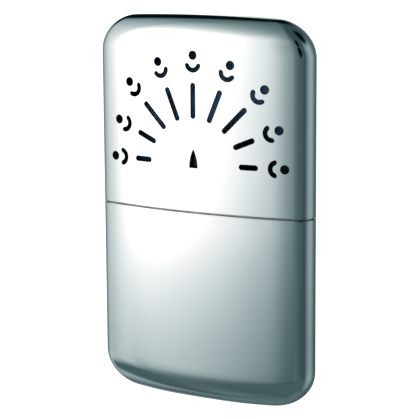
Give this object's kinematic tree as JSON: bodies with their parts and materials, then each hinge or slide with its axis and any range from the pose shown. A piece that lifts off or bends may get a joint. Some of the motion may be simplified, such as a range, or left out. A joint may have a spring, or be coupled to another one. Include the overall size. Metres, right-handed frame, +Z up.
{
  "type": "catalytic hand warmer",
  "caption": "Flat oval pocket hand warmer: a fuel tank with a collar, a plug-in catalytic burner and a vented push-fit cover.",
  "frame": {"origin": "middle of the flat under the tank, on which the warmer stands", "axes": "+X across the width to the right, +Y through the thickness from the vented front to the back, +Z up from the tank to the cover"},
  "size_m": [0.068, 0.0156, 0.1103],
  "materials": {
    "case_chrome": "polished chrome plate on drawn sheet",
    "collar_nickel": "bright nickel plate",
    "mouth_brass": "turned and polished",
    "wick_felt": "pressed wool felt",
    "cotton_wadding": "carded cotton",
    "burner_steel": "pressed stainless sheet",
    "gauze_steel": "fine steel gauze",
    "catalyst_fibre": "glass fibre with a grey catalyst bloom"
  },
  "bodies": {
    "tank": {"tank_shell": "case_chrome", "tank_top": "collar_nickel", "fuel_mouth": "mouth_brass", "wick": "wick_felt", "wadding_left": "cotton_wadding", "wadding_right": "cotton_wadding"},
    "cover": {"upper_cover": "case_chrome"},
    "burner": {"burner_base": "burner_steel", "mat_support": "gauze_steel", "catalyst_mat": "catalyst_fibre", "burner_cage": "burner_steel"}
  },
  "joints": [
    {"name": "cover_lift", "type": "slide", "parent": "tank", "child": "cover", "axis": [0, 0, 1], "range_m": [0, 0.06]},
    {"name": "burner_lift", "type": "slide", "parent": "tank", "child": "burner", "axis": [0, 0, 1], "range_m": [0, 0.012]}
  ]
}
